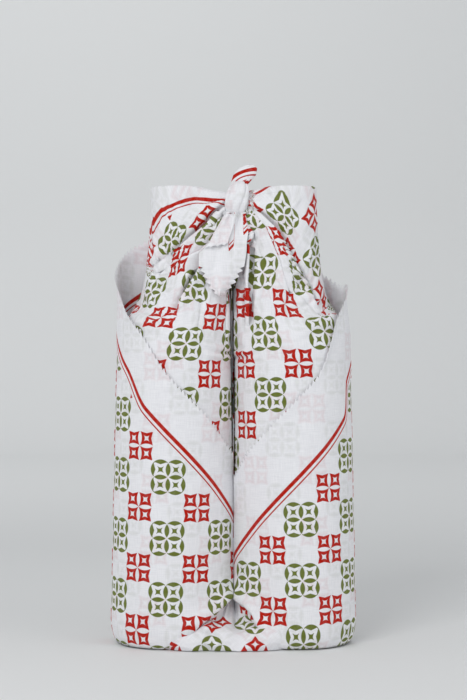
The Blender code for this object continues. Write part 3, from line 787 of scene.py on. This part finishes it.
def circle_print():
    """Node group of the block print, in millimetres: circles that overlap by fours, whose petals are
    olive, and between them the same circles' curved squares in red."""
    tree = bpy.data.node_groups.new("circle_print", "ShaderNodeTree")
    for name, way, kind in (("Place", "INPUT", "Vector"), ("Blur", "INPUT", "Float"),
                            ("Red", "OUTPUT", "Float"), ("Green", "OUTPUT", "Float")):
        tree.interface.new_socket(name, in_out=way, socket_type=f"NodeSocket{kind}")
    place, blur = tree.nodes.new("NodeGroupInput").outputs[:2]
    sharp = add(tree, "Math", (blur, -1.0), "MULTIPLY")
    result = tree.nodes.new("NodeGroupOutput")
    pitch, c = 1000 * PITCH, 4.85
    notch, disc_r, corner_r, line_w = 3.3, 2.7, 5.75, 0.5

    def nearer(source, x, y):
        """Distance to the nearer of two points that mirror each other in the diagonal."""
        one, two = (add(tree, "VectorMath", (source, point), "DISTANCE")
                    for point in ((x, y, 0), (y, x, 0)))
        return add(tree, "Math", (one, two), "MINIMUM")

    # Each figure is four quarters round their own middles, c off the figure's. Of a quarter: centre and
    # radius of the circles next to it, slope of its outer sides, and the curve of the star in its middle.
    for colour, shift, far, r, slope, waist, curve in (
            ("Green", pitch, (-2 * c, 0.0), 6.4, 0.33, 3.9, 2.6),
            ("Red", 0.0, (-12.78, 0.1), 9.33, 0.25, 4.45, 3.2)):
        moved = add(tree, "VectorMath", (place, (shift, shift, 0)), "SUBTRACT")
        cell = add(tree, "VectorMath", (moved, (pitch, pitch, 1), (-pitch, -pitch, -1)), "WRAP")
        quarter = add(tree, "VectorMath", (cell,), "ABSOLUTE")
        q = add(tree, "VectorMath", (quarter, (c, c, 0)), "SUBTRACT")
        folded = add(tree, "VectorMath", (q,), "ABSOLUTE")
        size = add(tree, "VectorMath", (q,), "LENGTH")
        x, y = add(tree, "SeparateXYZ", (q,)).node.outputs[:2]
        wide, high = add(tree, "SeparateXYZ", (folded,)).node.outputs[:2]
        hollow = add(tree, "Math", (curve, nearer(folded, waist, 0.0)), "SUBTRACT")
        disc = add(tree, "Math", (size, disc_r), "SUBTRACT")
        star = add(tree, "Math", (hollow, disc), "MAXIMUM")
        lens = add(tree, "Math", (nearer(q, *far), r), "SUBTRACT")
        side = add(tree, "Math", (high, -slope, x), "MULTIPLY_ADD")
        top = add(tree, "Math", (wide, -slope, y), "MULTIPLY_ADD")
        outer = add(tree, "Math", (side, top), "MAXIMUM")
        outer = add(tree, "Math", (outer, notch), "SUBTRACT")
        if colour == "Green":
            rim = add(tree, "Math", (size, r), "SUBTRACT")
            line = add(tree, "Math", (r - line_w, size), "SUBTRACT")
            inside = add(tree, "Math", (x, y), "ADD")
            inside = add(tree, "Math", (inside, -1.0), "MULTIPLY")
            line = add(tree, "Math", (line, inside), "MAXIMUM")
            petal = add(tree, "Math", (outer, -1.0), "MULTIPLY")
            for part in (lens, star, line):
                petal = add(tree, "Math", (petal, part), "MINIMUM")
            shape = add(tree, "Math", (petal, rim), "MAXIMUM")
        else:
            inner = add(tree, "Math", (lens, star), "MINIMUM")
            inner = add(tree, "Math", (inner, -1.0), "MULTIPLY")
            shape = add(tree, "Math", (inner, outer), "MAXIMUM")
            outside = add(tree, "VectorMath", (q, (0, 0, 0)), "MAXIMUM")
            corner = add(tree, "VectorMath", (outside,), "LENGTH")
            corner = add(tree, "Math", (corner, corner_r), "SUBTRACT")
            shape = add(tree, "Math", (shape, corner), "MAXIMUM")
        mask = add(tree, "MapRange", (shape, blur, sharp))
        tree.links.new(mask, result.inputs[colour])
    return tree


def new_material(name):
    """An empty material, its node tree and its shader."""
    made = bpy.data.materials.new(name)
    made.use_nodes = True
    return made, made.node_tree, made.node_tree.nodes["Principled BSDF"]


def printed_cotton():
    """Thin plain-woven cotton, block printed in red and olive: matt, with a white margin, a double red
    stripe, and a faint show of the layer beneath."""
    made, tree, shader = new_material("printed_cotton")
    red_dye, olive_dye = "#B41802", "#6A7430"
    group = circle_print()
    flat = add(tree, "UVMap", uv_map="print")
    place = add(tree, "VectorMath", {0: flat, "Scale": 1000.0}, "SCALE")
    edge = add(tree, "UVMap", uv_map="edge")
    margin = add(tree, "SeparateXYZ", (edge,))
    distance = add(tree, "Math", (margin, 1000.0), "MULTIPLY")
    field = add(tree, "MapRange", (distance, 30.8, 31.2))
    lines = []
    for centre, half in ((1000 * STRIPE_IN, 1.2), (28.5, 0.45)):
        off = add(tree, "Math", (distance, centre), "SUBTRACT")
        off = add(tree, "Math", (off,), "ABSOLUTE")
        lines.append(add(tree, "MapRange", (off, half + 0.15, half - 0.15)))
    stripes = add(tree, "Math", (lines[0], lines[1]), "MAXIMUM")
    front = add(tree, "Group", (place, 0.15), node_tree=group).node.outputs
    red = add(tree, "Math", (front["Red"], field), "MULTIPLY")
    red = add(tree, "Math", (red, stripes), "MAXIMUM")
    green = add(tree, "Math", (front["Green"], field), "MULTIPLY")

    # The layer beneath shows faintly through the thin cloth.
    under = add(tree, "VectorMath", (place, (11.0, 27.0, 0.0)), "ADD")
    ghost = add(tree, "Group", (under, 0.9), node_tree=group).node.outputs
    faint_red = add(tree, "Math", (ghost["Red"], 0.13), "MULTIPLY")
    faint_green = add(tree, "Math", (ghost["Green"], 0.12), "MULTIPLY")

    # Spun threads are thick and thin along their length, which leaves pale and grey flecks both ways.
    slubs = []
    for squeeze in ((0.12, 2.2, 1.0), (2.2, 0.12, 1.0)):
        drawn = add(tree, "VectorMath", (place, squeeze), "MULTIPLY")
        slubs.append(add(tree, "TexNoise", {"Vector": drawn, "Scale": 1.0, "Detail": 2.0}))
    thread = add(tree, "Math", (slubs[0], slubs[1]), "ADD")
    fleck = add(tree, "MapRange", (thread, 0.75, 1.25))
    colour = add(tree, "Mix", {0: fleck, 6: "#E3E3E7", 7: "#EEEEF1"}, data_type="RGBA")
    # The ink lies unevenly, so the printed colours vary a little in depth.
    ink = add(tree, "TexNoise", {"Vector": place, "Scale": 0.35, "Detail": 3.0})
    ink = add(tree, "MapRange", (ink, 0.3, 0.6, 0.95, 1.0))
    for dye, amount in (
            (red_dye, faint_red), (olive_dye, faint_green), (red_dye, red), (olive_dye, green)):
        amount = add(tree, "Math", (amount, ink), "MULTIPLY")
        colour = add(tree, "Mix", {0: amount, 6: colour, 7: dye}, data_type="RGBA")

    # Threads of such cotton lie about 0.35 mm apart. They are drawn 0.9 mm apart, or the picture could
    # not show them.
    turned = add(tree, "VectorMath", {0: place, "Scale": 2 * pi / 0.9}, "SCALE")
    warp, weft = add(tree, "SeparateXYZ", (turned,)).node.outputs[:2]
    over = add(tree, "Math", (warp,), "SINE")
    across = add(tree, "Math", (weft,), "SINE")
    weave = add(tree, "Math", (over, across), "MULTIPLY")
    weave = add(tree, "Math", (weave, 0.3, thread), "MULTIPLY_ADD")
    # Handling leaves soft creases.
    crumple = add(tree, "TexNoise", {"Vector": place, "Scale": 0.045, "Detail": 2.0, "Distortion": 0.6})
    soft = add(tree, "Bump", {"Height": crumple, "Strength": 0.5, "Distance": 0.004})
    bump = add(tree, "Bump", {"Height": weave, "Strength": 0.35, "Distance": 0.0002, "Normal": soft})
    connect(tree, shader, {"Base Color": colour, "Normal": bump, "Roughness": 0.88,
                           "Specular IOR Level": 0.12, "Sheen Weight": 0.04, "Subsurface Weight": 0.4,
                           "Subsurface Radius": (1.0, 1.0, 1.0), "Subsurface Scale": 0.0005})
    return made


def dark_glass():
    """Moulded bottle glass: deep green, clear and a little wavy."""
    made, tree, shader = new_material("dark_glass")
    place = add(tree, "TexCoord").node.outputs["Object"]
    cloud = add(tree, "TexNoise", {"Vector": place, "Scale": 18.0, "Detail": 2.0})
    colour = add(tree, "Mix", {0: cloud, 6: "#2E4A24", 7: "#3A5A2A"}, data_type="RGBA")
    wave = add(tree, "Bump", {"Height": cloud, "Strength": 0.3, "Distance": 0.001})
    connect(tree, shader, {"Base Color": colour, "Normal": wave, "Transmission Weight": 0.85,
                           "Roughness": 0.04, "IOR": 1.52})
    return made


def red_wine():
    """Still red wine: nearly black in the thick, ruby where light gets through."""
    made, tree, shader = new_material("red_wine")
    place = add(tree, "TexCoord").node.outputs["Object"]
    depth = add(tree, "TexNoise", {"Vector": place, "Scale": 6.0})
    colour = add(tree, "Mix", {0: depth, 6: "#2C060C", 7: "#4A0A14"}, data_type="RGBA")
    connect(tree, shader, {"Base Color": colour, "Roughness": 0.05, "IOR": 1.34})
    return made


def cut_cork():
    """Cork bark, punched to a cylinder: tan with dark pores."""
    made, tree, shader = new_material("cut_cork")
    place = add(tree, "TexCoord").node.outputs["Object"]
    grain = add(tree, "TexNoise", {"Vector": place, "Scale": 220.0, "Detail": 4.0})
    pores = add(tree, "TexVoronoi", {"Vector": place, "Scale": 380.0})
    dark = add(tree, "MapRange", (pores, 0.32, 0.12))
    colour = add(tree, "Mix", {0: grain, 6: "#A97C50", 7: "#CBA478"}, data_type="RGBA")
    colour = add(tree, "Mix", {0: dark, 6: colour, 7: "#6A452A"}, data_type="RGBA")
    pit = add(tree, "Bump", {"Height": pores, "Strength": 0.5, "Distance": 0.0004})
    connect(tree, shader, {"Base Color": colour, "Normal": pit, "Roughness": 0.85})
    return made


def neck_foil():
    """Lacquered aluminium foil, spun tight on the neck: satin dark red with fine creases."""
    made, tree, shader = new_material("neck_foil")
    place = add(tree, "TexCoord").node.outputs["Object"]
    drawn = add(tree, "VectorMath", (place, (400.0, 400.0, 40.0)), "MULTIPLY")
    crease = add(tree, "TexNoise", {"Vector": drawn, "Scale": 1.0, "Detail": 3.0})
    colour = add(tree, "Mix", {0: crease, 6: "#4E1118", 7: "#6A1A22"}, data_type="RGBA")
    fold = add(tree, "Bump", {"Height": crease, "Strength": 0.4, "Distance": 0.0003})
    connect(tree, shader, {"Base Color": colour, "Normal": fold, "Metallic": 0.6, "Roughness": 0.36})
    return made


def finish_bottles():
    """Materials of the bottles, which stay as the CAD model has them."""
    for node, made in (("bottle_glass", dark_glass()), ("wine", red_wine()), ("cork", cut_cork()),
                       ("capsule", neck_foil())):
        for name in SIDES:
            bpy.data.objects[f"{node}_{name}"].data.materials[0] = made


def studio():
    """Camera, soft daylight from the front left, and a plain pale sweep of floor and wall."""
    scene = bpy.context.scene
    scene.view_settings.view_transform = "Standard"
    lens = bpy.data.cameras.new("camera")
    lens.lens = 85
    lens.sensor_width = 36
    camera = bpy.data.objects.new("camera", lens)
    camera.location = (0, -1.09, 0.192)
    camera.rotation_euler = (radians(90), 0, 0)
    scene.collection.objects.link(camera)
    scene.camera = camera

    world = bpy.data.worlds.new("studio")
    scene.world = world
    world.use_nodes = True
    sky = world.node_tree.nodes["Background"]
    connect(world.node_tree, sky, {"Color": (0.96, 0.98, 1.0, 1), "Strength": 0.57})
    for name, place, turn, size, power in (("window", (-0.6, -1.25, 0.95), (61, 0, -26), 0.7, 9.3),
                                           ("fill", (1.2, -0.9, 0.5), (75, 0, 52), 0.8, 3),
                                           ("wall_light", (-0.5, 0.8, 1.6), (80, 0, 0), 1.2, 8)):
        data = bpy.data.lights.new(name, "AREA")
        data.size = size
        data.energy = power
        lamp = bpy.data.objects.new(name, data)
        lamp.location = place
        lamp.rotation_euler = tuple(radians(a) for a in turn)
        lamp.visible_camera = False
        scene.collection.objects.link(lamp)

    rows = 41
    bm = bmesh.new()
    bmesh.ops.create_grid(bm, x_segments=1, y_segments=rows - 1, size=1)
    bm.verts.ensure_lookup_table()
    bend = np.linspace(0, pi / 2, rows - 2)
    y = np.concatenate([[-3.0], 1.9 + 0.5 * np.sin(bend), [2.4]])
    z = np.concatenate([[0.0], 0.5 - 0.5 * np.cos(bend), [3.0]])
    for k, vert in enumerate(bm.verts):
        vert.co = (3.0 * (k % 2 * 2 - 1), y[k // 2], z[k // 2])
    mesh = bpy.data.meshes.new("backdrop")
    bm.to_mesh(mesh)
    bm.free()
    mesh.shade_smooth()
    paper, tree, shader = new_material("pale_paper")
    connect(tree, shader, {"Base Color": "#E6E7E7", "Roughness": 0.9})
    mesh.materials.append(paper)
    backdrop = bpy.data.objects.new("backdrop", mesh)
    scene.collection.objects.link(backdrop)


def main():
    studio()
    finish_bottles()
    cloth = printed_cotton()
    hoods = []
    for name, side in SIDES.items():
        settled, b, pleats = build_roll(name, side, cloth)
        build_turn(name, side, cloth, settled, b)
        hoods += [settled] + pleats
    build_base(cloth)
    build_gusset("front", -1, cloth)
    build_gusset("back", 1, cloth)
    build_tuck(cloth)
    build_knot(cloth)
    build_hanging_tail(cloth, hoods)
    build_standing_tail(cloth)


main()
